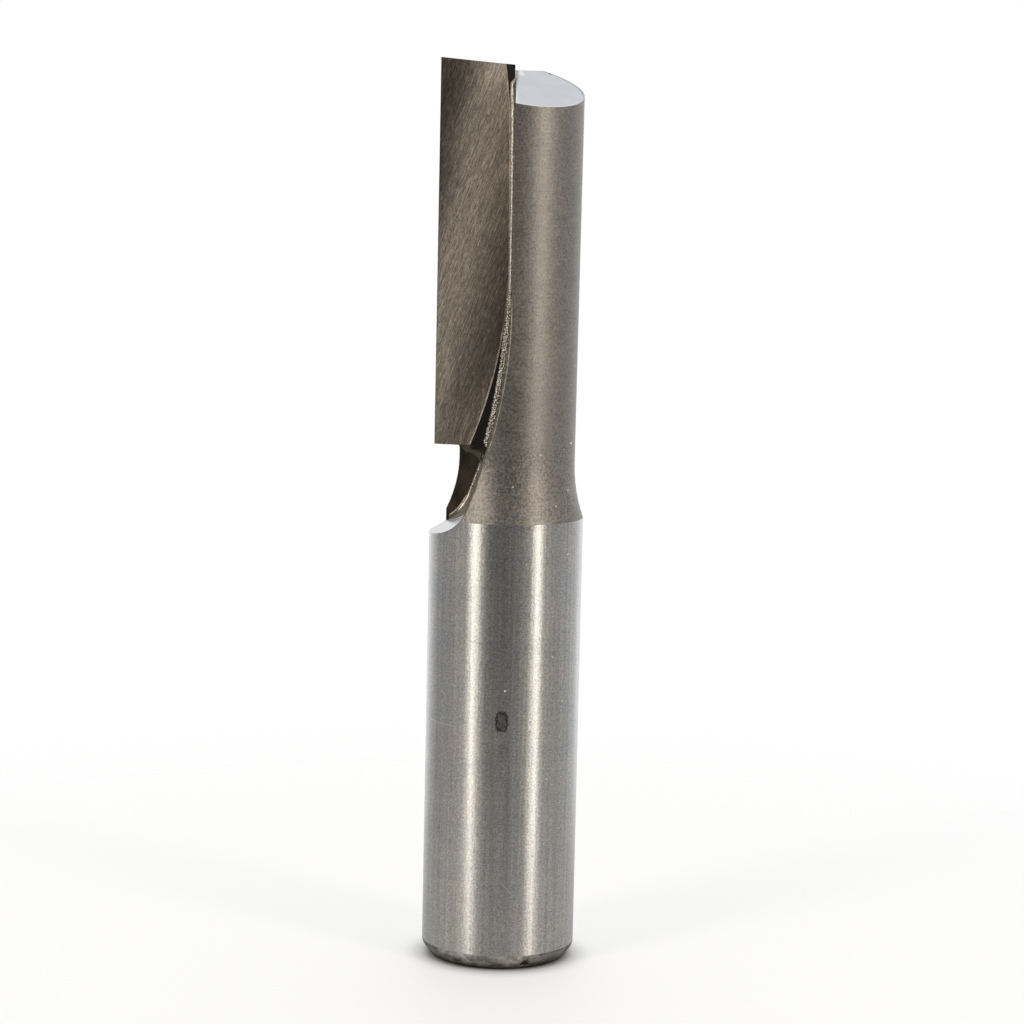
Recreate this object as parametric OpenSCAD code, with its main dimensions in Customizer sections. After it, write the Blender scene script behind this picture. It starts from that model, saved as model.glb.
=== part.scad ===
// Straight router bit with one brazed carbide tip, standing on its shank.
// Millimetres. The axis is Z, the origin is the middle of the shank's end,
// and the flute opens towards -Y with the cutting edge on the -X side.

/* [Overall] */
// Height from the shank's end to the highest point of the tip
overall_len = 74.5; // [70:0.5:100]

/* [Shank] */
// Shank diameter, the size that the collet grips
shank_d = 12.7; // [12:0.1:20]
// Length of the plain cylinder, from the end to the shoulder
shank_len = 37.05; // [30:0.05:40]
// Length of the bevel round the shank's end
bevel_len = 1; // [0.6:0.1:3]
// Width of that bevel, taken off the radius
bevel_w = 0.75; // [0.4:0.05:1.5]
// Rounding where the bevel meets the cylinder
bevel_round = 0.9; // [0.2:0.1:1.5]
// Rounding where the bevel meets the end face
end_round = 0.4; // [0.1:0.05:0.6]

/* [Neck and head] */
// Head diameter just above the neck
head_d = 11.12; // [10.2:0.02:11.6]
// Head diameter at its free end
head_top_d = 11.34; // [10.2:0.02:11.8]
// Radius of the hollow sweep from the shoulder up to the head
neck_r = 12.7; // [6:0.1:20]
// How far the tip stands above the head's flat end
tip_proud = 0.9; // [0.4:0.1:2]
// Slope of the facet ground across the head's end
facet_tilt = 18.8; // [5:0.2:25]
// Direction of that facet's top line, seen from above
facet_turn = 30; // [10:1:50]

/* [Flute] */
// Where the flute's side wall stands, measured from the axis
wall_x = 0.05; // [-0.4:0.05:0.6]
// Radius of the long arc that brings the wall out to the side
sweep_r = 50; // [40:0.5:70]
// Height above the tip's heel at which that arc begins
sweep_rise = 13.1; // [8:0.1:18]
// Radius of the short arc at the flute's foot
foot_r = 4; // [3:0.1:6]
// Distance below the heel at which the short arc takes over
foot_drop = 4.5; // [1:0.1:6]

/* [Carbide tip] */
// Cutting diameter
cut_d = 12.7; // [12:0.1:15]
// Cutting length
cut_len = 31.8; // [24:0.1:34]
// Thickness of the tip behind its ground rake face
tip_t = 2; // [1.5:0.05:2.4]
// Hook angle of the rake face
hook_angle = 16; // [10:0.5:20]
// Clearance angle behind the side cutting edge
side_clearance = 20; // [14:0.5:24]
// Clearance angle behind the end cutting edge
end_clearance = 10; // [6:0.5:16]
// Fall of the end cutting edge towards the axis
dish_angle = 4.9; // [0:0.1:8]
// How far the heel of the tip is off square
heel_skew = 1.5; // [0:0.1:4]

/* [Rake grinding] */
// Depth ground off the tip's face
grind_depth = 0.1; // [0.06:0.01:0.3]
// Radius of the grinding wheel
wheel_r = 39.4; // [30:0.2:60]
// Strip left unground between the wheel's lowest pass and the wall
grind_strip = 0.34; // [0.2:0.02:0.6]
// Height of the wheel's lowest pass above the heel
pass_low = 14.95; // [12:0.05:18]
// Length of the wheel's stroke up the tip
stroke = 10.35; // [6:0.05:12]
// How far the wheel moves away from the wall over its stroke
stroke_drift = 0.13; // [0:0.01:0.4]

/* [Braze] */
// Thickness of the film that holds the tip
braze_gap = 0.08; // [0.04:0.01:0.15]
// Size of the bead along the face of the tip
bead_r = 0.23; // [0.12:0.01:0.4]
// Distance from the head's ground facet down to the bead's top
bead_drop = 0.35; // [0.1:0.05:2]
// Size of the run left in the corner below the tip
run_r = 0.22; // [0.1:0.01:0.4]
// Turn of the short arc at which that run ends
run_end = 58; // [40:1:60]
// Size of the fillet under the heel
heel_fillet = 0.5; // [0.2:0.05:0.9]

/* [Hidden] */
$fn = 240;

// Reach of the cutting shapes beyond the solid they cut
over = 12;

shank_r = shank_d / 2;
head_r = head_d / 2;
head_top_r = head_top_d / 2;
cut_r = cut_d / 2;

// Heights along the axis
head_end_z = overall_len - tip_proud;
heel_z = overall_len - cut_len;
sweep_z = heel_z + sweep_rise;

// The rake face lies behind the axis, which gives the edge its hook
rake_y = cut_r * sin(hook_angle);
edge_x = -cut_r * cos(hook_angle);
blank_y = rake_y - grind_depth;
back_y = rake_y + tip_t;
seat_y = back_y + braze_gap;

// The neck's arc is tangent to the head and ends at the shank's radius
neck_x = head_r + neck_r;
neck_z = shank_len + sqrt(neck_r ^ 2 - (neck_x - shank_r) ^ 2);

// Turn of the long arc where the short arc takes over
foot_turn = asin((sweep_rise + foot_drop) / sweep_r);

// Centres of the flute's two arcs, which are tangent to each other
sweep_x = wall_x - sweep_r;
foot_x = sweep_x + (sweep_r - foot_r) * cos(foot_turn);
foot_z = sweep_z - (sweep_r - foot_r) * sin(foot_turn);

// How far the film reaches out into the bead and down into the fillet under the heel
film_lip = bead_r / 4;
film_drop = heel_fillet / 5;

// Height at which the bead ends, below the facet ground across the head
facet_fall = tan(facet_tilt) * cos(facet_turn) * (seat_y - blank_y);
bead_top = head_end_z - facet_fall - bead_drop;

// The turned blank

// Straight sides of the shank's outline, with the bevel's corners cut for rounding
module shank_outline(bevel_angle) {
    foot_rad = shank_r - bevel_w;
    end_cut = end_round * tan((90 - bevel_angle) / 2);
    side_cut = bevel_round * tan(bevel_angle / 2);
    polygon([
        [0, 0],
        [foot_rad - end_cut, 0],
        [foot_rad + end_cut * sin(bevel_angle), end_cut * cos(bevel_angle)],
        [shank_r - side_cut * sin(bevel_angle), bevel_len - side_cut * cos(bevel_angle)],
        [shank_r, bevel_len + side_cut],
        [shank_r, shank_len],
        [0, shank_len]
    ]);
    translate([foot_rad - end_cut, end_round]) circle(end_round);
    translate([shank_r - bevel_round, bevel_len + side_cut]) circle(bevel_round);
}

// Hollow neck between the shoulder and the head
module neck_outline() {
    difference() {
        translate([0, shank_len]) square([shank_r, neck_z - shank_len]);
        translate([neck_x, neck_z]) circle(neck_r);
    }
}

// The head, a little wider at its free end
module head_outline() {
    polygon([[0, neck_z], [head_r, neck_z], [head_top_r, head_end_z], [0, head_end_z]]);
}

// Shank, neck and head as turned, before the flute is milled
module blank() {
    rotate_extrude() {
        shank_outline(atan2(bevel_w, bevel_len));
        neck_outline();
        head_outline();
    }
}

// The flute

// Outline of the milled flute in its own plane, drawn in by a gap
module flute_outline(gap) {
    translate([-2 * over, sweep_z]) square([2 * over + wall_x - gap, overall_len]);
    intersection() {
        translate([sweep_x, sweep_z]) circle(sweep_r - gap);
        translate([sweep_x, sweep_z]) rotate(-foot_turn) square(sweep_r);
    }
    translate([foot_x, foot_z]) circle(foot_r - gap);
    translate([foot_x - 2 * over, foot_z - foot_r + gap]) square([2 * over, 2 * over]);
}

// Stands an outline upright and gives it depth between a front and a back plane
module upright(front, back) {
    translate([0, back, 0]) rotate([90, 0, 0]) linear_extrude(back - front) children();
}

// Turns a section downwards through part of a circle whose axis runs from front to back
module turned_section(x, z, from, to) {
    translate([x, 0, z]) rotate([90, 0, 0]) rotate([0, 0, -from])
        rotate_extrude(angle = from - to) children();
}

// The facet ground across the head, rising to the corner behind the tip
module end_facet() {
    translate([wall_x, seat_y, head_end_z]) rotate([facet_tilt, 0, facet_turn])
        translate([-2 * over, -2 * over, 0]) cube([4 * over, 2 * over, over]);
}

// Shank, neck and head in one piece of steel, with the flute milled out
module steel_body() {
    color("#8e8983") difference() {
        blank();
        upright(-over, seat_y) flute_outline(0);
        end_facet();
    }
}

// The carbide tip

// Everything below the heel of the tip, from a step down
module below_heel(step = 0) {
    translate([edge_x, rake_y, heel_z - step]) rotate([0, heel_skew, 0])
        translate([-over, -over, -2 * over]) cube([3 * over, 2 * over, 2 * over]);
}

// Section of the wheel's rim, which is bevelled where it leaves the face
module rim_section() {
    polygon([
        [0, 0],
        [wheel_r, 0],
        [wheel_r + grind_depth, grind_depth],
        [wheel_r + grind_depth, over],
        [0, over]
    ]);
}

// What the wheel takes off the face as it strokes up the tip
module rake_grinding() {
    lean = atan2(stroke_drift, stroke);
    low_x = wall_x - grind_strip - wheel_r;
    translate([low_x, rake_y, heel_z + pass_low]) {
        rotate([90, 0, 0]) rotate_extrude() rim_section();
        translate([-stroke_drift, 0, stroke]) rotate([90, 0, 0]) rotate_extrude() rim_section();
        rotate([0, -lean, 0]) linear_extrude(norm([stroke, stroke_drift]))
            mirror([0, 1]) rim_section();
    }
}

// Clearance behind the side cutting edge
module side_relief() {
    translate([edge_x, rake_y, heel_z - over]) rotate([0, 0, -hook_angle - side_clearance])
        translate([-over, -over, 0]) cube([over, 2 * over, cut_len + 2 * over]);
}

// Clearance behind the end cutting edge, which falls towards the axis
module end_relief() {
    translate([edge_x, rake_y, overall_len]) rotate([-end_clearance, dish_angle, 0])
        translate([-over, -over, 0]) cube([3 * over, 2 * over, over]);
}

// Carbide tip, ground on its rake face, its side and its end
module carbide_tip() {
    color("#57504a") difference() {
        upright(blank_y, back_y) intersection() {
            flute_outline(braze_gap);
            translate([edge_x, heel_z - over]) square([2 * over, cut_len + over]);
        }
        below_heel();
        rake_grinding();
        side_relief();
        end_relief();
    }
}

// The braze

// Quarter of a round bead in the corner between the wall and a plane facing the front
module corner_quarter(wall, depth, r) {
    intersection() {
        translate([wall, -depth]) circle(r);
        translate([wall - r, -depth]) square(r);
    }
}

// Film behind the tip and along its inner edge
module braze_film() {
    difference() {
        upright(blank_y - film_lip, seat_y) flute_outline(0);
        upright(blank_y - over, back_y) flute_outline(braze_gap);
        below_heel(film_drop);
    }
}

// Bead along the face of the tip, up the long arc and the straight wall
module face_bead() {
    difference() {
        turned_section(sweep_x, sweep_z, 0, foot_turn) corner_quarter(sweep_r, blank_y, bead_r);
        below_heel();
    }
    translate([0, 0, sweep_z]) linear_extrude(bead_top - sweep_z)
        mirror([0, 1]) corner_quarter(wall_x, blank_y, bead_r);
}

// Fillet that the braze forms under the heel, hollow in section
module under_heel() {
    depth = seat_y - rake_y;
    intersection() {
        translate([edge_x, rake_y, heel_z]) rotate([0, heel_skew, 0]) difference() {
            translate([0, depth - heel_fillet, -heel_fillet])
                cube([2 * over, heel_fillet, heel_fillet]);
            translate([-over, depth - heel_fillet, -heel_fillet]) rotate([0, 90, 0])
                cylinder(h = 4 * over, r = heel_fillet);
        }
        upright(rake_y, seat_y) flute_outline(0);
    }
}

// Run of braze left down the corner of the flute below the tip
module corner_run() {
    intersection() {
        union() {
            turned_section(sweep_x, sweep_z, 0, foot_turn) corner_quarter(sweep_r, seat_y, run_r);
            turned_section(foot_x, foot_z, foot_turn, run_end) corner_quarter(foot_r, seat_y, run_r);
        }
        below_heel();
    }
}

// Braze: the film round the tip, the bead on its face and what ran below its heel
module braze_joint() {
    color("#c8b98f") intersection() {
        union() {
            braze_film();
            face_bead();
            corner_run();
            under_heel();
        }
        difference() {
            blank();
            end_facet();
        }
    }
}

steel_body();
carbide_tip();
braze_joint();
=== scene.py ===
import math
import random

import bpy
from mathutils import Matrix, Vector


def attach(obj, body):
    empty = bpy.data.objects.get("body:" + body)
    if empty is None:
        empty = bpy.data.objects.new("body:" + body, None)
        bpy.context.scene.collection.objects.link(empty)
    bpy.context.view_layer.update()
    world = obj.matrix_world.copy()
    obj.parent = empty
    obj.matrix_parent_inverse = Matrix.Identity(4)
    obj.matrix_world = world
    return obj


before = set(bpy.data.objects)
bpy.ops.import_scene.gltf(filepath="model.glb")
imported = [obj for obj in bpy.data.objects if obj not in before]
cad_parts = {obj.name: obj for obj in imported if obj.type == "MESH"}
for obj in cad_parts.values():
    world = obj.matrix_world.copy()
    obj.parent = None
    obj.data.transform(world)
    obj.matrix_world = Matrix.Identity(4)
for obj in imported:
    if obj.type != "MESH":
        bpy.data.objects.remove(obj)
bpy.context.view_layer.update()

# A straight router bit: materials for its three CAD nodes, four small pieces of braze, and the
# photograph's camera, light and floor. The axis is Z, and the camera looks from -Y.

MM = 0.001

# Sizes of the bit in metres, the same as in the CAD source
SHANK_TOP = 37.05 * MM
BEVEL_TOP = 1.3 * MM
HEAD_R = 5.56 * MM
HEAD_TOP_R = 5.67 * MM
HEAD_TOP = 73.6 * MM
NECK_R = 12.7 * MM
NECK_Z = 41.459 * MM
HEEL_Z = 42.7 * MM
BLANK_Y = 1.65 * MM
SEAT_Y = 3.83 * MM
BEAD_R = 0.23 * MM

# The flute's outline: a straight wall, a long arc below it and a short arc at its foot
WALL_X = 0.05 * MM
SWEEP_R = 50 * MM
SWEEP_Z = 55.8 * MM
FOOT_R = 4 * MM
FOOT_X = -6.894 * MM
FOOT_Z = 39.608 * MM
FOOT_TOP = 38.2 * MM
FOOT_TURN = math.asin((SWEEP_Z - FOOT_TOP) / SWEEP_R)

# Thickness of a thin skin of braze, which also sinks this far into the steel
FILM = 0.015 * MM
# Height at which the bead's pearls end and its smooth part begins
PEARLS_TOP = 55.5 * MM

DUST = (0.9, 0.89, 0.87)
RIGHT_ANGLE = math.pi / 2


# Node materials

class Nodes:
    """A node tree that is put together one node at a time."""

    def __init__(self, tree):
        self.tree = tree
        self.nodes = tree.nodes
        self.nodes.clear()

    def link(self, source, socket):
        """Feeds a socket from another socket, or sets it to a value or a colour."""
        if isinstance(source, bpy.types.NodeSocket):
            self.tree.links.new(source, socket)
        elif socket.type == "RGBA":
            socket.default_value = (*source, 1)
        else:
            socket.default_value = source

    def parts(self, vector):
        """The three parts of a vector."""
        node = self.nodes.new("ShaderNodeSeparateXYZ")
        self.link(vector, node.inputs[0])
        return node.outputs

    def vector(self, operation, a, b=None):
        """What an operation makes of one or two vectors."""
        node = self.nodes.new("ShaderNodeVectorMath")
        node.operation = operation
        self.link(a, node.inputs[0])
        if b is not None:
            self.link(b, node.inputs[1])
        return node.outputs["Value" if operation in ("LENGTH", "DOT_PRODUCT") else "Vector"]

    def math(self, operation, a, b=0.0, c=0.0):
        """What an operation makes of up to three numbers."""
        node = self.nodes.new("ShaderNodeMath")
        node.operation = operation
        for value, socket in zip((a, b, c), node.inputs):
            self.link(value, socket)
        return node.outputs[0]

    def product(self, first, *others):
        """All the values, multiplied together."""
        for other in others:
            first = self.math("MULTIPLY", first, other)
        return first

    def strongest(self, first, *others):
        """The strongest of several masks."""
        for other in others:
            first = self.math("MAXIMUM", first, other)
        return first

    def remap(self, value, low, high, to_low=0.0, to_high=1.0, smooth=False):
        """Carries a range of values over to another range, and stops at its ends."""
        node = self.nodes.new("ShaderNodeMapRange")
        node.interpolation_type = "SMOOTHSTEP" if smooth else "LINEAR"
        for socket, number in zip(node.inputs[:5], (value, low, high, to_low, to_high)):
            self.link(number, socket)
        return node.outputs[0]

    def spread(self, noise, low, high):
        """Spreads the range that a noise mostly keeps to over two values."""
        return self.remap(noise, 0.3, 0.7, low, high)

    def between(self, mask, off, on):
        """A value that goes from off to on as a mask goes from 0 to 1."""
        return self.remap(mask, 0.0, 1.0, off, on)

    def mix(self, share, a, b, blend="MIX"):
        """Mixes two colours."""
        node = self.nodes.new("ShaderNodeMix")
        node.data_type = "RGBA"
        node.blend_type = blend
        self.link(share, node.inputs[0])
        self.link(a, node.inputs[6])
        self.link(b, node.inputs[7])
        return node.outputs[2]

    def toned(self, colour, tone):
        """A colour made darker or lighter by a tone, where 1 leaves it as it is."""
        return self.mix(1.0, colour, tone, "MULTIPLY")


class Shader(Nodes):
    """A surface material, whose places and sizes are all in millimetres."""

    def __init__(self, name):
        self.material = bpy.data.materials.new(name)
        self.material.use_nodes = True
        super().__init__(self.material.node_tree)
        self.output = self.nodes.new("ShaderNodeOutputMaterial")
        self.surface = self.nodes.new("ShaderNodeBsdfPrincipled")
        self.link(self.surface.outputs[0], self.output.inputs["Surface"])
        self.coordinates = self.nodes.new("ShaderNodeTexCoord")
        self.place = self.vector("MULTIPLY", self.coordinates.outputs["Object"], (1 / MM,) * 3)
        self.x, self.y, self.z = self.parts(self.place)

    def set(self, **values):
        """Sets the shader's own sockets, whose names have spaces for the underscores."""
        for name, value in values.items():
            self.link(value, self.surface.inputs[name.replace("_", " ")])

    def turned(self, degrees, axis="Y"):
        """The place, turned about an axis."""
        node = self.nodes.new("ShaderNodeMapping")
        self.link(self.place, node.inputs["Vector"])
        node.inputs["Rotation"].default_value["XYZ".index(axis)] = math.radians(degrees)
        return node.outputs[0]

    def noise(self, size, detail=2.0, rough=0.5, place=None):
        """Noise between 0 and 1, whose features have the given size, or three sizes."""
        node = self.nodes.new("ShaderNodeTexNoise")
        sizes = size if len(size) == 3 else size * 3
        self.link(self.vector("DIVIDE", place or self.place, sizes), node.inputs["Vector"])
        node.inputs["Scale"].default_value = 1.0
        node.inputs["Detail"].default_value = detail
        node.inputs["Roughness"].default_value = rough
        return node.outputs["Fac"]

    def bump(self, height, depth, normal=None):
        """Normals of a relief of the given full depth."""
        node = self.nodes.new("ShaderNodeBump")
        node.inputs["Distance"].default_value = depth * MM
        self.link(height, node.inputs["Height"])
        if normal is not None:
            self.link(normal, node.inputs["Normal"])
        return node.outputs[0]

    def soft_edges(self, radius):
        """Normals that round the edges off by a small radius."""
        node = self.nodes.new("ShaderNodeBevel")
        node.samples = 4
        node.inputs["Radius"].default_value = radius * MM
        return node.outputs[0]

    def edges(self, radius):
        """A mask that is 1 along the edges, within about a radius."""
        still_flat, well_bent = 0.995, 0.9
        geometry = self.nodes.new("ShaderNodeNewGeometry")
        normal = geometry.outputs["True Normal"]
        turn = self.vector("DOT_PRODUCT", self.soft_edges(radius), normal)
        return self.remap(turn, still_flat, well_bent)

    def on_front(self, mask):
        """A mask that is kept on the front of the bit and is 0 on its back."""
        return self.product(mask, self.math("LESS_THAN", self.y, 0.0))

    def offset(self, part, centre, size):
        """Distance from a centre along one axis, where 1 is half the size."""
        return self.math("DIVIDE", self.math("SUBTRACT", part, centre), size / 2)

    def unevenness(self, amount):
        """Fine noise about 0, which makes the outline of a mark ragged."""
        return self.spread(self.noise((0.25,), 2.0), -amount, amount)

    def spot(self, x, z, width, height, ragged=0.0, power=2.0):
        """A mask that is 1 inside an oval on the front. A higher power makes it squarer."""
        inner, outer = 0.8, 1.1
        across = self.math("ABSOLUTE", self.offset(self.x, x, width))
        along = self.math("ABSOLUTE", self.offset(self.z, z, height))
        across, along = self.math("POWER", across, power), self.math("POWER", along, power)
        reach = self.math("POWER", self.math("ADD", across, along), 1 / power)
        if ragged:
            reach = self.math("ADD", reach, self.unevenness(ragged))
        return self.on_front(self.remap(reach, inner, outer, 1.0, 0.0, True))

    def specks(self, *sizes):
        """A mask of small spots, each given as x, z, width and height."""
        return self.strongest(*[self.spot(*size) for size in sizes])

    def line(self, start, end, width):
        """A mask that is 1 on a thin line on the front, between two places given as x and z."""
        length, taper = math.dist(start, end), 0.1
        dx, dz = (end[0] - start[0]) / length, (end[1] - start[1]) / length
        offset = self.vector("SUBTRACT", self.place, (start[0], 0, start[1]))
        along = self.vector("DOT_PRODUCT", offset, (dx, 0, dz))
        across = self.math("ABSOLUTE", self.vector("DOT_PRODUCT", offset, (dz, 0, -dx)))
        first, last = self.remap(along, 0.0, taper), self.remap(along, length, length - taper)
        sides = self.remap(across, width * 0.25, width * 0.6, 1.0, 0.0)
        return self.on_front(self.product(self.math("MINIMUM", first, last), sides))

    def patch(self, x, y, width, depth, strength):
        """A mask on a ragged oval that is seen from above."""
        inner, outer = 0.2, 1.1
        across, along = self.offset(self.x, x, width), self.offset(self.y, y, depth)
        gap = self.math("MULTIPLY_ADD", along, along, self.unevenness(0.5))
        gap = self.math("MULTIPLY_ADD", across, across, gap)
        return self.remap(gap, outer, inner, 0.0, strength, True)


def shank_marks(s, grain):
    """Masks of the shank's dark marks, of its dust, and of its dust and scratches together."""
    stain = s.spot(-0.03, 20.93, 1.1, 1.8, ragged=0.06, power=3.0)
    inside = s.spot(-0.03, 20.9, 0.8, 1.4, ragged=0.25, power=3.0)
    stain = s.math("SUBTRACT", stain, s.product(inside, s.spread(grain, 0.2, 0.5)))
    faint = s.product(s.spot(0.22, 18.45, 0.6, 1.5, ragged=0.4), 0.22)
    nick = s.line((-2.9, 27.44), (-1.7, 27.26), 0.1)
    pits = s.strongest(s.spot(2.7, 9.65, 0.18, 0.16), s.spot(-5.09, 11.45, 0.16, 0.18), nick)
    dark = s.strongest(stain, faint, s.product(pits, 0.45))
    dust = s.specks((0.2, 23.46, 0.2, 0.18), (5.1, 34.44, 0.18, 0.16), (4.05, 26.09, 0.14, 0.14),
                    (4.9, 22.3, 0.15, 0.15), (3.71, 15.98, 0.14, 0.14))
    scratches = s.strongest(
        s.line((-5.96, 20.27), (-4.0, 20.19), 0.1), s.line((-0.62, 19.55), (-0.2, 19.31), 0.12),
        s.line((0.12, 7.56), (1.13, 6.47), 0.08), s.line((0.45, 3.9), (0.47, 3.3), 0.12))
    return dark, dust, s.strongest(dust, s.product(scratches, 0.6))


def ground_shank():
    """Shank: ground all round, so its grain runs round the axis, with the marks of use."""
    cool, warm, darkest = (0.56, 0.555, 0.545), (0.575, 0.553, 0.53), 0.18
    s = Shader("steel_ground")
    tangent = s.nodes.new("ShaderNodeTangent")
    tangent.direction_type = "RADIAL"
    tangent.axis = "Z"
    s.set(Anisotropic=0.9, Anisotropic_Rotation=0.25, Tangent=tangent.outputs[0])
    grain = s.noise((0.15, 0.15, 0.13), 1.0, 0.6)
    rings = s.noise((2.0, 2.0, 0.09), 2.0)
    stripes = s.noise((0.35, 0.35, 25.0), 2.0, 0.6)
    patches = s.noise((3.0, 3.0, 2.5), 3.0)
    dark, dust, bright = shank_marks(s, grain)
    tone = s.product(s.spread(grain, 0.74, 1.26), s.spread(rings, 0.96, 1.04),
                     s.spread(stripes, 0.86, 1.14), s.spread(patches, 0.95, 1.05),
                     s.between(dark, 1.0, darkest))
    steel = s.toned(s.mix(s.remap(patches, 0.35, 0.65), cool, warm), tone)
    s.set(Base_Color=s.mix(bright, steel, DUST), Metallic=s.between(dust, 1.0, 0.0))
    marks = s.product(s.strongest(dark, bright), 0.6)
    s.set(Roughness=s.strongest(s.spread(grain, 0.28, 0.36), marks))
    s.set(Normal=s.bump(grain, 0.01, s.soft_edges(0.05)))
    return s.material


def blasted_neck():
    """Neck and head: fine blasted steel, a little warmer than the shank."""
    s = Shader("steel_blasted")
    grit = s.noise((0.17,), 1.0, 0.6)
    rings = s.noise((1.6, 1.6, 0.14), 2.0)
    patches = s.noise((1.2, 1.2, 0.9), 3.0, 0.6)
    contrast = s.remap(s.z, 41.0, 45.0, 1.7, 1.15, True)
    tone = s.math("MULTIPLY_ADD", s.math("SUBTRACT", grit, 0.5), contrast, 1.0)
    tone = s.product(tone, s.spread(rings, 0.93, 1.07), s.spread(patches, 0.94, 1.06))
    dust = s.specks((5.17, 43.37, 0.18, 0.18), (2.7, 42.63, 0.14, 0.14),
                    (4.02, 38.44, 0.13, 0.13), (5.0, 39.58, 0.13, 0.13), (0.49, 40.07, 0.13, 0.13))
    steel = s.toned((0.34, 0.311, 0.284), tone)
    s.set(Base_Color=s.mix(dust, steel, DUST), Metallic=s.between(dust, 1.0, 0.0))
    s.set(Roughness=s.spread(grit, 0.41, 0.49), Normal=s.bump(grit, 0.012, s.soft_edges(0.08)))
    return s.material


def ground_facet():
    """Facet across the head's end: finely ground, with a painted highlight along its near rim and
    painted shade along its far one.
    """
    steel, nick, flux = (0.53, 0.545, 0.56), (0.05, 0.05, 0.045), (0.82, 0.82, 0.78)
    s = Shader("steel_facet")
    grain = s.noise((0.06, 1.5, 0.5), 2.0, place=s.turned(35, "Z"))
    smudges = s.noise((1.5,), 3.0)
    # Painted shade along the far rim, and a painted highlight along the near rim
    far = s.product(s.edges(0.45), s.remap(s.y, -1.0, 1.0))
    near = s.product(s.edges(0.5), s.remap(s.y, -1.0, -3.0))
    tone = s.product(s.spread(grain, 0.97, 1.03), s.spread(smudges, 0.95, 1.03),
                     s.between(far, 1.0, 0.1), s.between(near, 1.0, 1.45))
    colour = s.mix(s.patch(2.87, 4.75, 0.55, 0.9, 0.85), s.toned(steel, tone), nick)
    colour = s.mix(s.patch(0.48, 3.2, 0.56, 1.8, 0.75), colour, flux)
    s.set(Base_Color=colour, Metallic=1.0, Roughness=0.3)
    s.set(Normal=s.bump(grain, 0.001, s.soft_edges(0.1)))
    return s.material


def turned_bevel():
    """Bevel at the shank's end: turned and dull, with rust spots, and with painted shade towards
    the bench and towards its left and right sides.
    """
    steel, rusty = (0.62, 0.585, 0.555), (0.06, 0.035, 0.028)
    s = Shader("steel_bevel")
    rings = s.noise((2.0, 2.0, 0.1), 2.0)
    grain = s.noise((0.26,), 3.0, 0.8)
    clouds = s.noise((1.1, 1.1, 0.45), 3.0)
    sides = s.math("ABSOLUTE", s.math("ADD", s.x, 0.6))
    # Painted shade: darker towards the bench and towards the left and right sides
    tone = s.product(s.remap(grain, 0.35, 0.65, 0.75, 1.25), s.remap(clouds, 0.35, 0.65, 0.5, 1.2),
                     s.remap(s.z, 0.05, 0.7, 0.12, 1.0), s.remap(sides, 1.8, 5.0, 1.0, 0.55))
    freckles = s.remap(s.noise((0.35,), 4.0, 0.7), 0.58, 0.68)
    rust = s.strongest(s.spot(2.35, 0.62, 0.75, 0.5, ragged=0.5),
                       s.product(s.spot(1.5, 0.95, 0.6, 0.2, ragged=0.5), 0.4),
                       s.product(s.spot(-3.4, 0.5, 0.7, 0.3, ragged=0.5), 0.6),
                       s.product(freckles, 0.6))
    s.set(Base_Color=s.mix(rust, s.toned(steel, tone), rusty), Metallic=1.0)
    s.set(Roughness=0.42, Normal=s.bump(rings, 0.004, s.soft_edges(0.35)))
    return s.material


def end_face():
    """End face of the shank, as cut."""
    s = Shader("steel_end")
    roughness = s.spread(s.noise((0.3,), 2.0), 0.38, 0.5)
    s.set(Base_Color=(0.42, 0.4, 0.38), Metallic=1.0, Roughness=roughness)
    return s.material


def milled_flute():
    """Walls of the flute: milled, and browned by the heat and flux of brazing above its foot."""
    bare, brown, pale_brown = (0.53, 0.525, 0.53), (0.13, 0.102, 0.066), (0.21, 0.172, 0.118)
    s = Shader("steel_flute")
    cloud = s.noise((1.2, 1.2, 1.6), 3.0, 0.6)
    slant = s.math("MULTIPLY_ADD", s.y, 0.19, s.z)
    high = s.remap(s.math("MULTIPLY_ADD", cloud, 0.4, slant), 36.62, 37.22, 0.0, 1.0, True)
    stained = s.mix(s.spread(cloud, 0.0, 1.0), brown, pale_brown)
    s.set(Base_Color=s.mix(high, bare, stained), Metallic=1.0, Roughness=s.between(high, 0.2, 0.4))
    s.set(Normal=s.bump(s.noise((0.2,), 2.0), 0.003, s.soft_edges(0.04)))
    return s.material


def milled_seat():
    """Floor of the flute, which carries the tip: dark with oxide below the heel."""
    s = Shader("steel_seat")
    cloud = s.noise((0.9, 0.9, 1.3), 3.0, 0.6)
    oxide = s.mix(s.remap(cloud, 0.35, 0.65), (0.065, 0.054, 0.04), (0.15, 0.12, 0.085))
    s.set(Base_Color=oxide, Metallic=0.6, Roughness=0.42)
    s.set(Normal=s.bump(s.noise((0.2,), 2.0), 0.003))
    return s.material


def rough_band_and_painted_sheen(s, along):
    """Mask of a band that slants up the rake face and grows towards its lower end, where the face
    is ground rougher; the colour is also painted lighter in it and darker beside it, as a painted
    reflection of the lamps.
    """
    cloud = s.noise((2.0, 2.0, 5.0), 2.0, 0.5, along)
    middle = s.math("MULTIPLY_ADD", s.z, 0.211, -16.2)
    off = s.math("ADD", s.math("SUBTRACT", s.x, middle), s.spread(cloud, -0.3, 0.3))
    left, right = s.remap(off, -4.7, -0.9, 0.0, 1.0, True), s.remap(off, 0.3, 4.2, 1.0, 0.1)
    return s.strongest(s.math("MINIMUM", left, right), s.remap(s.z, 53.0, 45.0, 0.0, 0.62))


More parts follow.
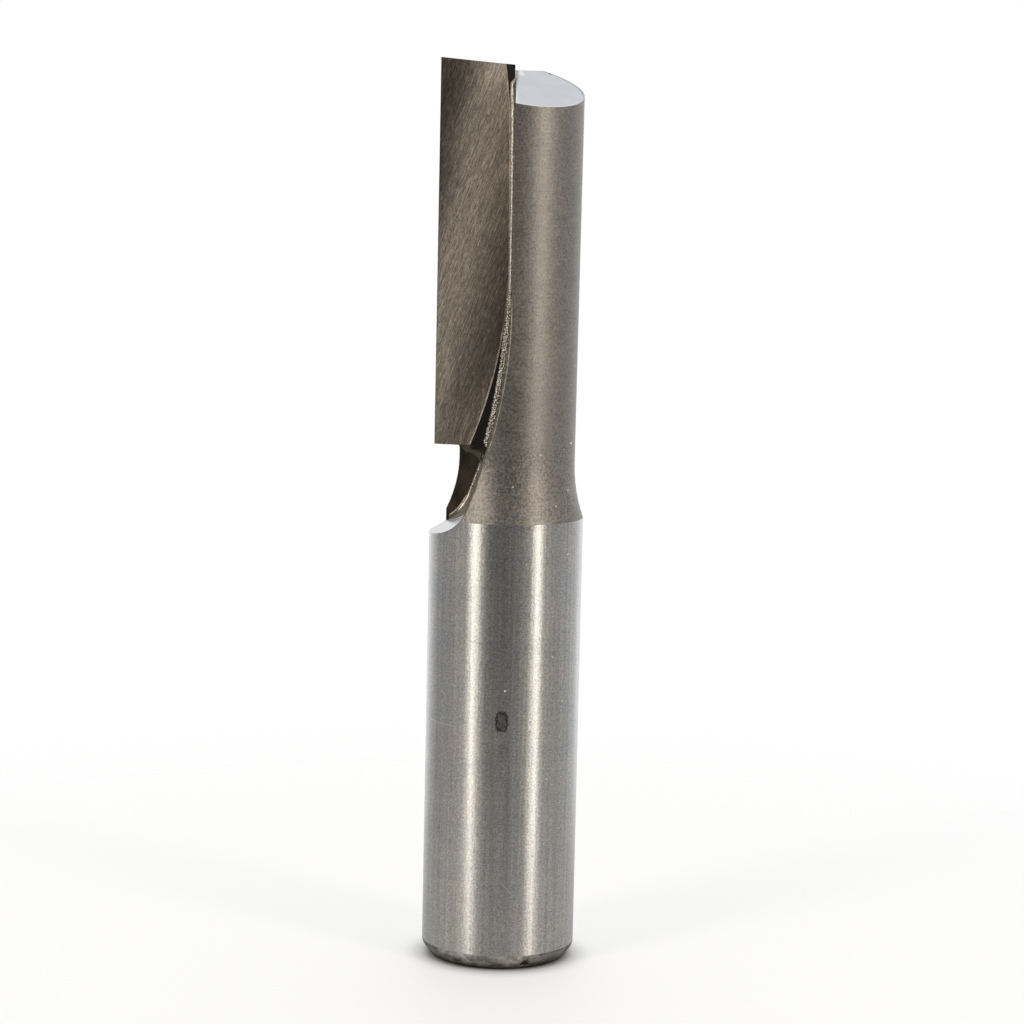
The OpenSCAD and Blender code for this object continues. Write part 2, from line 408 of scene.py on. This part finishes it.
def ground_carbide():
    """Rake face and clearance faces: ground, with streaks that lean to the right."""
    s = Shader("carbide_ground")
    along = s.turned(-20)
    fine = s.noise((0.08, 0.3, 0.7), 1.0, 0.6, s.turned(-14))
    lines = s.noise((0.085, 0.3, 3.0), 1.0, 0.6, along)
    grit = s.noise((0.1,), 1.0, 0.6)
    broad = s.noise((0.5, 0.5, 9.0), 2.0, 0.5, along)
    dashes = s.remap(s.noise((0.075, 0.3, 0.9), 1.0, 0.5, along), 0.64, 0.72)
    rough_and_sheen_band = rough_band_and_painted_sheen(s, along)

    # Painted shade darkens the edges, and a painted highlight lightens the step beside the wheel's
    # hollow
    step = s.product(s.remap(s.x, -3.7, -3.4), s.remap(s.z, 55.0, 51.0), s.remap(s.z, 42.75, 42.95))
    painted_edge_shade_and_step_highlight = s.between(step, 0.35, 2.8)

    tone = s.product(s.spread(fine, 0.71, 1.29), s.spread(lines, 0.73, 1.27),
                     s.spread(grit, 0.8, 1.2), s.spread(broad, 0.96, 1.04))
    # Painted reflection: the tone is lighter in the slanting band and darker to its sides
    tone = s.product(s.math("MULTIPLY_ADD", dashes, 0.8, tone), s.between(rough_and_sheen_band, 0.4, 1.05),
                     s.between(s.edges(0.1), 1.0, painted_edge_shade_and_step_highlight))
    roughness = s.math("ADD", s.between(rough_and_sheen_band, 0.3, 0.46), s.spread(fine, -0.03, 0.03))
    s.set(Base_Color=s.toned((0.66, 0.575, 0.485), tone), Metallic=1.0, Anisotropic=0.5)
    s.set(Roughness=roughness, Normal=s.bump(fine, 0.004))
    return s.material


def sintered_carbide():
    """The tip's unground skin: nearly black, with a faint sheen."""
    s = Shader("carbide_sintered")
    grit = s.noise((0.12,), 3.0, 0.6)
    s.set(Base_Color=s.mix(grit, (0.012, 0.011, 0.01), (0.03, 0.026, 0.022)))
    s.set(Metallic=0.3, Roughness=0.5, Normal=s.bump(grit, 0.004))
    return s.material


def silver_braze():
    """Silver braze: a pale alloy with a touch of gold, with darker spots."""
    s = Shader("braze_silver")
    spots = s.noise((0.16,), 3.0, 0.6)
    s.set(Base_Color=s.mix(s.remap(spots, 0.36, 0.56), (0.22, 0.192, 0.16), (0.575, 0.535, 0.475)))
    s.set(Metallic=1.0, Roughness=s.spread(spots, 0.42, 0.28), Normal=s.bump(spots, 0.02))
    return s.material


def browned_braze():
    """Braze that ran down into the flute: beaded near its top, darker at heights just under the
    heel, and clean below.
    """
    s = Shader("braze_browned")
    cloud = s.noise((0.5,), 3.0, 0.6)
    beaded = s.product(s.remap(s.z, 38.2, 38.8), s.remap(s.z, 42.3, 42.0))
    beads = s.remap(s.noise((0.13,), 1.0), 0.4, 0.6, -0.7, 0.3)
    darker_near_heel = s.strongest(s.remap(s.z, 39.3, 41.2, 1.0, 0.15), s.remap(s.z, 42.3, 42.6))
    tone = s.product(s.math("MULTIPLY_ADD", beads, beaded, 1.0), darker_near_heel)
    bare = s.mix(s.remap(cloud, 0.35, 0.65), (0.42, 0.38, 0.31), (0.78, 0.73, 0.64))
    s.set(Base_Color=s.toned(bare, tone), Metallic=1.0, Roughness=0.3)
    s.set(Coat_Weight=0.4, Coat_Roughness=0.15, Normal=s.bump(cloud, 0.02))
    return s.material


def brown_glaze(name, dark, pale):
    """Thin glaze of flux over the edge of the flute, between two shades. Given pale shades, it also
    makes the lap's rim, painted light as a highlight.
    """
    s = Shader(name)
    cloud = s.noise((0.3,), 3.0, 0.6)
    s.set(Base_Color=s.mix(s.remap(cloud, 0.35, 0.65), dark, pale), Metallic=0.0)
    s.set(Roughness=0.6, Specular_IOR_Level=0.2, Normal=s.bump(cloud, 0.01))
    return s.material


def flux_painted_light():
    """Flux under the heel: painted pale as a highlight where it faces the front, and nearly black
    as painted shade where it turns down under the heel.
    """
    s = Shader("braze_flux_painted_light")
    cloud = s.noise((0.4,), 3.0, 0.6)
    front = s.vector("DOT_PRODUCT", s.coordinates.outputs["Normal"], (0, -1, 0))
    front = s.math("ADD", front, s.spread(cloud, -0.03, 0.03))
    # Painted highlight where the surface faces the front, painted shade where it turns down to the
    # heel
    pale = s.remap(front, 0.86, 0.97, 0.0, 1.0, True)
    s.set(Base_Color=s.mix(pale, (0.022, 0.018, 0.012), (0.2, 0.175, 0.13)))
    s.set(Metallic=0.0, Roughness=0.5, Normal=s.bump(cloud, 0.02))
    return s.material


# Finishes on the CAD nodes

def steel_region(polygon, points):
    """The finish of one face of the body, from where it lies and how it faces."""
    normal, centre = polygon.normal, polygon.center
    facet_depth, near, well_inside = 4 * MM, 0.01 * MM, 0.05 * MM
    if normal.z < -0.99:
        return "end"
    if centre.z < BEVEL_TOP:
        return "bevel"
    if centre.z > HEAD_TOP - facet_depth and normal.z > 0.5:
        return "facet"
    if normal.y < -0.999 and abs(centre.y - SEAT_Y) < near:
        return "seat"
    inner = min(math.hypot(p.x, p.y) for p in points) < HEAD_R - well_inside
    upright, faces_flute, foot = abs(normal.y) < 1e-3, normal.x < 0.01, normal.z > 0.36
    if upright and faces_flute and (inner or foot):
        return "flute"
    return "shank" if centre.z < SHANK_TOP else "neck"


def carbide_region(polygon, points):
    """The finish of one face of the tip."""
    normal, centre = polygon.normal, polygon.center
    unground = normal.y < -0.99 and abs(centre.y - BLANK_Y) < 0.01 * MM
    side, back, heel = normal.x > 0.5, normal.y > 0.9, normal.z < -0.9
    return "sintered" if unground or side or back or heel else "ground"


def braze_region(polygon, points):
    """The finish of one face of the braze."""
    centre = polygon.center
    above_heel, near_wall = 0.3 * MM, 0.4 * MM
    if centre.z > HEEL_Z + above_heel:
        return "silver"
    return "browned" if wall_at(centre.z)[0] - centre.x < near_wall else "seat"


def finish_node(name, region, finishes):
    """Gives each face of a CAD node the material of its region."""
    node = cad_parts[name]
    mesh = node.data
    mesh.materials.clear()
    order = list(finishes)
    for key in order:
        mesh.materials.append(finishes[key])
    for polygon in mesh.polygons:
        points = [mesh.vertices[i].co for i in polygon.vertices]
        polygon.material_index = order.index(region(polygon, points))


# Outlines that the small pieces follow

def wall_at(z):
    """Place of the flute's wall at a height above the foot, and the outline's turn there."""
    if z >= SWEEP_Z:
        return WALL_X, 0.0
    turn = math.asin((SWEEP_Z - z) / SWEEP_R)
    return WALL_X - SWEEP_R * (1 - math.cos(turn)), turn


def foot_x_at(z):
    """Place of the flute's wall at a height in its foot."""
    return FOOT_X + math.sqrt(FOOT_R ** 2 - (FOOT_Z - z) ** 2)


def wall_point(turn):
    """Point of the flute's outline, as x and z, where the outline has the given turn."""
    if turn < FOOT_TURN:
        return WALL_X - SWEEP_R * (1 - math.cos(turn)), SWEEP_Z - SWEEP_R * math.sin(turn)
    return FOOT_X + FOOT_R * math.cos(turn), FOOT_Z - FOOT_R * math.sin(turn)


def arc_radius(turn):
    """Radius of the arc on which the flute's outline has the given turn."""
    return SWEEP_R if turn < FOOT_TURN else FOOT_R


def body_radius(z):
    """Radius of the steel at a height above the shank."""
    if z > NECK_Z:
        return HEAD_R + (HEAD_TOP_R - HEAD_R) * (z - NECK_Z) / (HEAD_TOP - NECK_Z)
    return HEAD_R + NECK_R - math.sqrt(NECK_R ** 2 - (NECK_Z - z) ** 2)


def front_y(x, z):
    """Depth of the steel's outer surface on the front."""
    return -math.sqrt(max(0.0, body_radius(z) ** 2 - x * x))


def along_profile(stops, z):
    """Value at a height, between stops given as {height in mm: value in mm}."""
    heights = sorted(stops)
    z = min(max(z / MM, heights[0]), heights[-1])
    for low, high in zip(heights, heights[1:]):
        if z <= high:
            share = (z - low) / (high - low)
            return (stops[low] + (stops[high] - stops[low]) * share) * MM
    return stops[heights[-1]] * MM


# Small pieces that the CAD leaves plain

def new_piece(name, vertices, width, materials, pick=None):
    """A smooth closed strip of braze, from rings that each have width points.

    Where it has several materials, pick gives the number of the one that a polygon gets.
    """
    mesh = bpy.data.meshes.new(name)
    mesh.from_pydata(vertices, [], strip_faces(len(vertices) // width, width))
    mesh.update()
    for material in materials:
        mesh.materials.append(material)
    mesh.shade_smooth()
    if pick:
        for polygon in mesh.polygons:
            polygon.material_index = pick(polygon)
    piece = bpy.data.objects.new(name, mesh)
    bpy.context.scene.collection.objects.link(piece)
    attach(piece, "root")
    return piece


def strip_faces(rings, width):
    """Faces of a closed strip whose rings each have the same number of points."""
    faces = []
    for i in range(rings - 1):
        for k in range(width):
            a, b = i * width + k, i * width + (k + 1) % width
            faces.append((a, b, b + width, a + width))
    faces.append(tuple(range(width))[::-1])
    faces.append(tuple((rings - 1) * width + k for k in range(width)))
    return faces


def run_knobs(first, last):
    """Knobs on the run's top, as (turn, share of the section, radius)."""
    rng = random.Random(11)
    knobs, turn = [], first
    while turn < last:
        knobs.append((turn, rng.uniform(0.4, 0.95), rng.uniform(0.09, 0.13) * MM))
        turn += math.radians(rng.uniform(0.26, 0.36))
    return knobs


def run_section(turn, reach, top, knobs, turns):
    """Section of the run in the flute's corner, as (distance from the wall, y)."""
    tall, bulge = reach * 1.6, 1.1
    ring = [(FILM, top), (FILM, SEAT_Y - tall)]
    for k in range(1, turns):
        angle = k / turns * RIGHT_ANGLE
        away, deep = reach * (1 - math.cos(angle)), tall * (1 - math.sin(angle))
        for place, share, size in knobs:
            gap = math.hypot((turn - place) * arc_radius(place), (k / turns - share) * tall) / size
            if gap < 1:
                lift = size * bulge * (1 - gap * gap) ** 0.5
                away, deep = away + lift * math.cos(angle), deep + lift * math.sin(angle)
        ring.append((away + FILM, SEAT_Y - deep))
    return ring + [(reach, SEAT_Y - FILM), (reach, SEAT_Y + FILM),
                   (-FILM, SEAT_Y + FILM), (-FILM, top)]


def corner_run(braze, glaze):
    """Braze that ran down the corner of the flute: knobbly at its top and smooth below.

    A thin skin of it covers the wall from the corner to the front edge.
    """
    first, last, knobs_last = math.radians(16.8), math.radians(59), math.radians(20.2)
    skin_shrinks, skin_gone, skin_end = math.radians(27), math.radians(58), 2.9 * MM
    tip_turn, step, turns = math.radians(4), 0.035 * MM, 12
    # How far the run reaches out from the wall, by height
    reaches = {36.9: 0.3, 37.8: 0.28, 38.5: 0.18, 39.2: 0.12, 41.0: 0.12, 41.5: 0.16}
    knobs = run_knobs(first, knobs_last)
    vertices, turn = [], first
    while turn < last:
        x, z = wall_point(turn)
        into_x, into_z = -math.cos(turn), math.sin(turn)
        shrunk = min(1.0, max(0.0, (turn - skin_shrinks) / (skin_gone - skin_shrinks)))
        top = front_y(x, z) * (1 - shrunk) + skin_end * shrunk if shrunk else front_y(x, z) - FILM
        reach = along_profile(reaches, z) * min(1.0, math.sqrt((last - turn) / tip_turn + 1e-4))
        section = run_section(turn, reach, top, knobs, turns)
        vertices += [(x + into_x * away, y, z + into_z * away) for away, y in section]
        turn += step / arc_radius(turn)
    width = turns + 5
    return new_piece("braze_run", vertices, width, (braze, glaze),
                     lambda polygon: 1 if polygon.index % width == 0 else 0)


def lap_section(lap, lip):
    """Section of the lap, as (distance across from the flute's edge, depth into the steel)."""
    lip_rise, skin, rim_rise, rim_width, root = (n * MM for n in (0.03, 0.015, 0.035, 0.08, 0.05))
    near = 0.35 * lap
    far = max(near, lap - rim_width)
    return [(-lip, lip_rise), (-lip * 0.9, -lip_rise), (0.0, -lip_rise), (near, -skin),
            (far, -skin), ((far + lap) / 2, -rim_rise), (lap, 0.0), (0.0, root)]


def lap_knobs(low, high):
    """Knobs along the lip, as (height, radius)."""
    rng = random.Random(5)
    spacing, knobs = 0.17 * MM, []
    while low + len(knobs) * spacing < high:
        height = low + (len(knobs) + rng.uniform(-0.3, 0.3)) * spacing
        knobs.append((height, rng.uniform(0.08, 0.13) * MM))
    return knobs


def edge_lap(film, dark, rim):
    """Braze over the edge of the flute: a knobbly lip, and a film with a thin raised rim, whose
    pale finish is a painted highlight.
    """
    low, high, step, width = 37.45 * MM, 55.5 * MM, 0.03 * MM, 8
    # Width of the film on the neck, and of the lip over the flute, by height
    laps = {37.45: 0.04, 38.6: 0.05, 39.1: 0.09, 39.6: 0.14, 40.6: 0.11, 41.6: 0.06, 42.8: 0.06,
            43.3: 0.13, 44.2: 0.19, 51: 0.2, 54: 0.12, 55.5: 0.04}
    lips = {42.9: 0.03, 43.2: 0.1, 44.0: 0.1, 44.8: 0.03, 55.5: 0.02}
    knobs = lap_knobs(low, high)
    vertices = []
    for i in range(int((high - low) / step) + 1):
        z = low + i * step
        x = wall_at(z)[0] if z > FOOT_TOP else foot_x_at(z)
        gaps = [(z - height) / size for height, size in knobs if abs(z - height) < size]
        lift = max([(1 - gap ** 2) ** 0.5 for gap in gaps] or [0.0])
        section = lap_section(along_profile(laps, z), along_profile(lips, z) * (0.6 + 0.6 * lift))
        vertices += [(x + across, front_y(x + across, z) + deep, z) for across, deep in section]

    def pick(polygon):
        place = polygon.index % width
        # The rim's faces get the pale finish, a painted highlight along the flute's edge
        if place in (4, 5):
            return 2
        return 1 if place < 3 and polygon.center.z < HEEL_Z else 0

    return new_piece("braze_lap", vertices, width, (film, dark, rim), pick)


def heel_web(flux):
    """Hollow web of braze under the heel, in the corner between tip, wall and seat."""
    wide, below, tall, deep = 2.3 * MM, 0.85 * MM, 1.6 * MM, 1.7 * MM
    turns, steps, sink, root = 32, 20, 0.01 * MM, 0.3
    vertices = []
    for i in range(turns + 1):
        # The lower edge drops at once, and then runs down the seat in a hollow curve
        angle = i / turns * RIGHT_ANGLE
        drop = min(1.0, i / turns * 5) ** 0.5
        end_x = wide * (math.sin(angle) - 1)
        end_z = -below * drop - tall * (1 - math.cos(angle)) ** 1.2
        for k in range(steps + 1):
            lift = (k / steps) ** 2.2
            share = 1 - math.sqrt(max(0.0, 1 - (1 - lift) ** 2))
            z = HEEL_Z + 2 * sink + end_z * share
            x = wall_at(z)[0] + end_x * (root + (1 - root) * share)
            vertices.append((x, SEAT_Y - sink - deep * lift, z))
        vertices.append((wall_at(HEEL_Z)[0] + end_x * root, SEAT_Y + sink, HEEL_Z + 3 * sink))
    return new_piece("braze_web", vertices, steps + 2, (flux,))


def bead_lumps(low, high, widths):
    """Lumps on the bead, as (height, place across, radius, rise): pearls below, swells above."""
    rng = random.Random(7)
    lumps, z = [], low
    while z < high:
        width = along_profile(widths, z)
        if z < PEARLS_TOP:
            for share in (0.22, 0.6, 0.95):
                size = rng.uniform(0.08, 0.125) * MM
                height = z + rng.uniform(-0.06, 0.06) * MM
                lumps.append((height, (share + rng.uniform(-0.1, 0.1)) * width, size, size * 0.8))
            z += 0.19 * MM
        else:
            size = rng.uniform(0.15, 0.4) * MM
            lumps.append((z, rng.uniform(0.1, 0.95) * width, size, size * 0.1))
            z += size * 0.7
    return lumps


def rise_at(z, across, lumps):
    """How far the highest lump at a place lifts the bead's surface."""
    rise = 0.0
    for height, place, size, lift in lumps:
        gap = math.hypot(z - height, across - place) / size
        if gap < 1:
            rise = max(rise, lift * (1 - gap * gap) ** 0.5)
    return rise


def bead_strip(braze, crevice):
    """The bead along the face of the tip: smooth above, and a crust of pearls below."""
    low, high, step, turns = HEEL_Z + 0.05 * MM, 73.0 * MM, 0.025 * MM, 24
    crown, end_length, sink, hollow = BEAD_R * 0.9, 0.4 * MM, 0.01 * MM, 0.025 * MM
    # Width of the bead across the tip's face, by height
    widths = {42: 0.34, 46: 0.4, 51: 0.44, 54: 0.33, 56: 0.27, 64: 0.29, 68: 0.36, 71: 0.42,
              72.4: 0.46, 73: 0.3}
    lumps = bead_lumps(low, high, widths)
    vertices, rises = [], []
    for i in range(int((high - low) / step) + 1):
        z = low + i * step
        x, turn = wall_at(z)
        width = along_profile(widths, z)
        end = min(1.0, math.sqrt(max(0.0, high - z) / end_length))
        near = [lump for lump in lumps if abs(lump[0] - z) < lump[2]]
        for k in range(turns + 1):
            angle = k / turns * RIGHT_ANGLE
            across = width * math.cos(angle)
            rise = rise_at(z, across, near)
            out = (across + rise * math.cos(angle)) * end
            up = (crown + rise) * math.sin(angle) * end
            vertices.append((x - out * math.cos(turn), BLANK_Y - up, z + out * math.sin(turn)))
            rises.append(rise)
        vertices.append((x - sink, BLANK_Y - sink, z))
        rises.append(0.0)

    def pick(polygon):
        rise = max(rises[i] for i in polygon.vertices)
        return 1 if polygon.center.z < PEARLS_TOP and rise < hollow else 0

    return new_piece("braze_bead", vertices, turns + 2, (braze, crevice), pick)


# Camera, light and floor

def add_camera():
    """The camera that fits the photograph's view."""
    place = Vector((0.0, -242.66, 68.12)) * MM
    yaw, pitch, roll = math.radians(0.110), math.radians(7.23), math.radians(1.23)
    focal_px, image_px, sensor = 2955, 1024, 36
    level = Vector((math.cos(yaw), -math.sin(yaw), 0))
    flat, fall = math.cos(pitch), -math.sin(pitch)
    forward = Vector((math.sin(yaw) * flat, math.cos(yaw) * flat, fall))
    above = level.cross(forward)
    right = math.cos(roll) * level + math.sin(roll) * above
    up = math.cos(roll) * above - math.sin(roll) * level
    turn = Matrix((right, up, -forward)).transposed().to_4x4()
    data = bpy.data.cameras.new("camera")
    data.sensor_width = sensor
    data.lens = focal_px / image_px * sensor
    data.clip_start = 0.01
    camera = bpy.data.objects.new("camera", data)
    camera.matrix_world = Matrix.Translation(place) @ turn
    bpy.context.scene.collection.objects.link(camera)
    bpy.context.scene.camera = camera


def add_softbox(name, azimuth, width, power):
    """A tall soft lamp that faces the bit. Azimuth 0 is the camera's side, and 90 is +X."""
    distance, height, tall, warm = 0.5, 0.3, 0.7, (1.0, 0.95, 0.85)
    data = bpy.data.lights.new(name, "AREA")
    data.shape = "RECTANGLE"
    data.size, data.size_y = width, tall
    data.energy = power
    data.color = warm
    lamp = bpy.data.objects.new(name, data)
    angle = math.radians(azimuth)
    lamp.location = (math.sin(angle) * distance, -math.cos(angle) * distance, height)
    aim = Vector((0, 0, height)) - lamp.location
    lamp.rotation_euler = aim.to_track_quat("-Z", "Y").to_euler()
    lamp.visible_camera = False
    bpy.context.scene.collection.objects.link(lamp)


def surround_ramp(nodes):
    """Ramp of the surround's brightness, from azimuth -180 through 0, the camera's side, to 180."""
    levels = {-155: 1.0, -142: 0.75, -130: 0.52, -112: 0.33, -90: 0.34, -74: 0.4, -62: 0.48,
              -40: 0.28, -28: 0.13, -16: 0.08, 12: 0.085, 22: 0.2, 40: 0.3, 60: 0.48, 72: 0.41,
              90: 0.37, 105: 0.46, 118: 0.56, 131: 0.63, 144: 0.95, 155: 1.0}
    front_warmth, side_warmth, back_warmth = 0.01, 0.05, -0.02
    ramp = nodes.new("ShaderNodeValToRGB")
    while len(ramp.color_ramp.elements) < len(levels):
        ramp.color_ramp.elements.new(0.5)
    for stop, (azimuth, level) in zip(ramp.color_ramp.elements, levels.items()):
        stop.position = azimuth / 360 + 0.5
        warmth = front_warmth if abs(azimuth) < 110 else back_warmth
        if 30 < abs(azimuth) < 80:
            warmth = side_warmth
        stop.color = (level, level * (1 - warmth), level * (1 - 2 * warmth), 1)
    return ramp


def add_world():
    """A white surround, dim behind the camera, which the metal reflects."""
    white, overhead, top_starts, top_ends = (1, 1, 1), (0.9, 0.95, 1.0), 0.7, 0.95
    world = bpy.data.worlds.new("studio")
    bpy.context.scene.world = world
    world.use_nodes = True
    w = Nodes(world.node_tree)
    coordinates = w.nodes.new("ShaderNodeTexCoord")
    x, y, z = w.parts(coordinates.outputs["Generated"])
    azimuth = w.math("ARCTAN2", x, w.product(y, -1.0))
    ramp = surround_ramp(w.nodes)
    w.link(w.math("ADD", w.math("DIVIDE", azimuth, math.tau), 0.5), ramp.inputs[0])
    top = w.remap(z, top_starts, top_ends, smooth=True)
    sky = w.mix(top, ramp.outputs[0], overhead)
    seen = w.nodes.new("ShaderNodeLightPath")
    light = w.nodes.new("ShaderNodeBackground")
    w.link(w.mix(seen.outputs["Is Camera Ray"], sky, white), light.inputs[0])
    output = w.nodes.new("ShaderNodeOutputWorld")
    w.link(light.outputs[0], output.inputs[0])


def pale_floor(radius):
    """Floor that keeps the contact shadow, and fades into the surround towards its rim."""
    fade_starts, fade_ends = radius / MM * 0.1, radius / MM * 0.98
    strength, in_mirrors, shadow_reach = 0.46, 0.1, 2.5 * MM
    s = Shader("floor_pale")
    seen = s.nodes.new("ShaderNodeLightPath")
    mirrored = s.strongest(seen.outputs["Is Glossy Ray"], seen.outputs["Is Transmission Ray"])
    glow = s.strongest(seen.outputs["Is Camera Ray"], s.product(mirrored, in_mirrors))
    closeness = s.nodes.new("ShaderNodeAmbientOcclusion")
    closeness.samples = 8
    closeness.inputs["Distance"].default_value = shadow_reach
    glow = s.product(glow, s.remap(closeness.outputs["AO"], 0.3, 0.9), strength)
    s.set(Base_Color=(0.62, 0.605, 0.58), Roughness=0.6)
    s.set(Emission_Color=(1, 1, 1), Emission_Strength=glow)
    away = s.vector("LENGTH", s.place)
    clear = s.nodes.new("ShaderNodeBsdfTransparent")
    mixed = s.nodes.new("ShaderNodeMixShader")
    s.link(s.remap(away, fade_starts, fade_ends, 0.0, 1.0, True), mixed.inputs[0])
    s.link(s.surface.outputs[0], mixed.inputs[1])
    s.link(clear.outputs[0], mixed.inputs[2])
    s.link(mixed.outputs[0], s.output.inputs["Surface"])
    return s.material


def add_floor():
    """A pale disc under the bit."""
    radius, segments = 0.12, 96
    angles = [k * math.tau / segments for k in range(segments)]
    rim = [(radius * math.cos(angle), radius * math.sin(angle), 0) for angle in angles]
    mesh = bpy.data.meshes.new("floor")
    mesh.from_pydata(rim, [], [tuple(range(segments))])
    mesh.materials.append(pale_floor(radius))
    floor = bpy.data.objects.new("floor", mesh)
    bpy.context.scene.collection.objects.link(floor)


def main():
    add_camera()
    add_world()
    add_floor()
    add_softbox("softbox_left", azimuth=-45.7, width=0.11, power=0.96)
    add_softbox("softbox_right", azimuth=49.8, width=0.085, power=0.83)

    braze = silver_braze()
    browned, seat = browned_braze(), milled_seat()
    glaze = brown_glaze("braze_glaze", dark=(0.13, 0.104, 0.07), pale=(0.24, 0.2, 0.15))
    # The rim's pale shades are a painted highlight along the flute's edge
    rim = brown_glaze("braze_rim_painted_highlight", dark=(0.3, 0.275, 0.23), pale=(0.7, 0.66, 0.58))
    finish_node("steel_body", steel_region, {
        "shank": ground_shank(), "neck": blasted_neck(), "facet": ground_facet(),
        "bevel": turned_bevel(), "end": end_face(), "flute": milled_flute(), "seat": seat,
    })
    finish_node("carbide_tip", carbide_region, {
        "ground": ground_carbide(), "sintered": sintered_carbide(),
    })
    finish_node("braze_joint", braze_region, {"silver": braze, "browned": browned, "seat": seat})
    bead_strip(braze, browned)
    corner_run(browned, glaze)
    edge_lap(glaze, seat, rim)
    heel_web(flux_painted_light())

    scene = bpy.context.scene
    scene.view_settings.view_transform = "Standard"


main()
